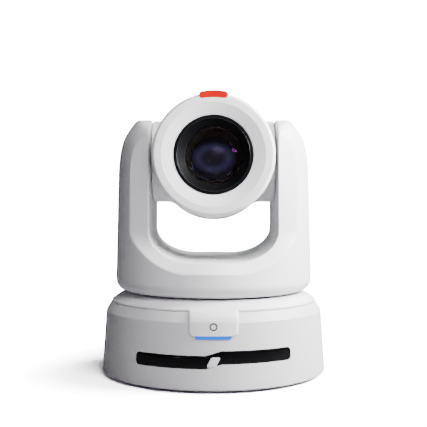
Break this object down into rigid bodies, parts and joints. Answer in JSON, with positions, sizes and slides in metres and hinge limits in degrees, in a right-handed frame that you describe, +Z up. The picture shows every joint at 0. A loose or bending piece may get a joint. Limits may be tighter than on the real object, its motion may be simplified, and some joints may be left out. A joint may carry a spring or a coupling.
{
  "type": "ptz camera",
  "caption": "White pan, tilt and zoom camera: a round lens head tilts in a U-shaped yoke that pans on a drum base with sockets at the back.",
  "frame": {"origin": "centre of the base on the table, under the pan axis", "axes": "+Z up along the pan axis, the lens looks along -Y, +X to the viewer's right"},
  "size_m": [0.186, 0.186, 0.2281],
  "materials": {
    "casing_white": "fine satin texture",
    "cover_white": "fine satin texture",
    "head_white": "fine satin texture",
    "strip_black": "polished",
    "light_blue": "lit diffuser",
    "tally_red": "lit diffuser",
    "rubber_dark": "matt",
    "plate_dark": "powder coat",
    "panel_grey": "powder coat",
    "socket_metal": "plated",
    "plastic_black": "moulded",
    "board_green": "solder mask",
    "brass": "turned",
    "aluminium": "milled",
    "steel": "ground",
    "belt_black": "matt",
    "lens_black": "anodised look",
    "lens_glass": "coated",
    "pulley_grey": "moulded",
    "cable_black": "sleeved"
  },
  "bodies": {
    "base": {"base_plate": "plate_dark", "rubber_feet": "rubber_dark", "base_housing": "casing_white", "base_cover": "cover_white", "status_light_bar": "light_blue", "accent_strip": "strip_black", "io_panel": "panel_grey", "power_jack": "plastic_black", "lan_jack": "socket_metal", "usb_port": "socket_metal", "hdmi_port": "socket_metal", "sdi_connector": "socket_metal", "control_ports": "plastic_black", "main_board": "board_green", "board_standoffs": "brass", "board_heat_sink": "aluminium", "pan_bracket": "aluminium", "pan_bracket_posts": "brass", "pan_bearing": "steel", "pan_motor": "steel", "pan_belt": "belt_black", "base_screws": "steel", "base_harness": "cable_black", "tripod_insert": "brass"},
    "pan_motor_rotor": {"pan_motor_pulley": "brass"},
    "yoke": {"pan_shaft": "aluminium", "pan_retaining_ring": "steel", "pan_pulley": "pulley_grey", "yoke_frame": "aluminium", "yoke_front_shell": "casing_white", "yoke_rear_shell": "casing_white", "yoke_screws": "steel", "tilt_bearing_left": "steel", "tilt_bearing_right": "steel", "tilt_motor": "steel", "tilt_belt": "belt_black", "driver_board": "board_green", "yoke_harness": "cable_black"},
    "tilt_motor_rotor": {"tilt_motor_pulley": "brass"},
    "head": {"head_front_shell": "head_white", "head_rear_shell": "head_white", "head_screws": "steel", "tally_light": "tally_red", "trunnion_left": "aluminium", "trunnion_right": "aluminium", "tilt_pulley": "pulley_grey", "head_chassis": "aluminium", "lens_bezel": "lens_black", "lens_barrel": "lens_black", "front_glass": "lens_glass", "lens_baffle": "lens_black", "rear_lens_group": "lens_glass", "lens_guide_rods": "steel", "lens_motors": "steel", "sensor_board": "board_green", "head_harness": "cable_black"},
    "zoom_group": {"zoom_lens_group": "lens_black"},
    "focus_group": {"focus_lens_group": "lens_black"}
  },
  "joints": [
    {"name": "pan", "type": "hinge", "parent": "base", "child": "yoke", "pos_m": [0, 0, 0.055], "axis": [0, 0, 1], "range_deg": [-170, 170]},
    {"name": "pan_motor_turn", "type": "hinge", "parent": "base", "child": "pan_motor_rotor", "pos_m": [0, -0.048, 0.055], "axis": [0, 0, 1], "range_deg": [-1030, 1030]},
    {"name": "tilt", "type": "hinge", "parent": "yoke", "child": "head", "pos_m": [0, 0, 0.1752], "axis": [-1, 0, 0], "range_deg": [-32.7, 87.3]},
    {"name": "tilt_motor_turn", "type": "hinge", "parent": "yoke", "child": "tilt_motor_rotor", "pos_m": [-0.0565, 0, 0.1122], "axis": [-1, 0, 0], "range_deg": [-200, 530]},
    {"name": "zoom", "type": "slide", "parent": "head", "child": "zoom_group", "axis": [0, -0.9989, 0.0471], "range_m": [-0.02, 0.0014]},
    {"name": "focus", "type": "slide", "parent": "head", "child": "focus_group", "axis": [0, -0.9989, 0.0471], "range_m": [-0.0014, 0.004]}
  ],
  "couplings": [
    {"joint": "pan_motor_turn", "follows": "pan", "ratio": 6},
    {"joint": "tilt_motor_turn", "follows": "tilt", "ratio": 6}
  ]
}
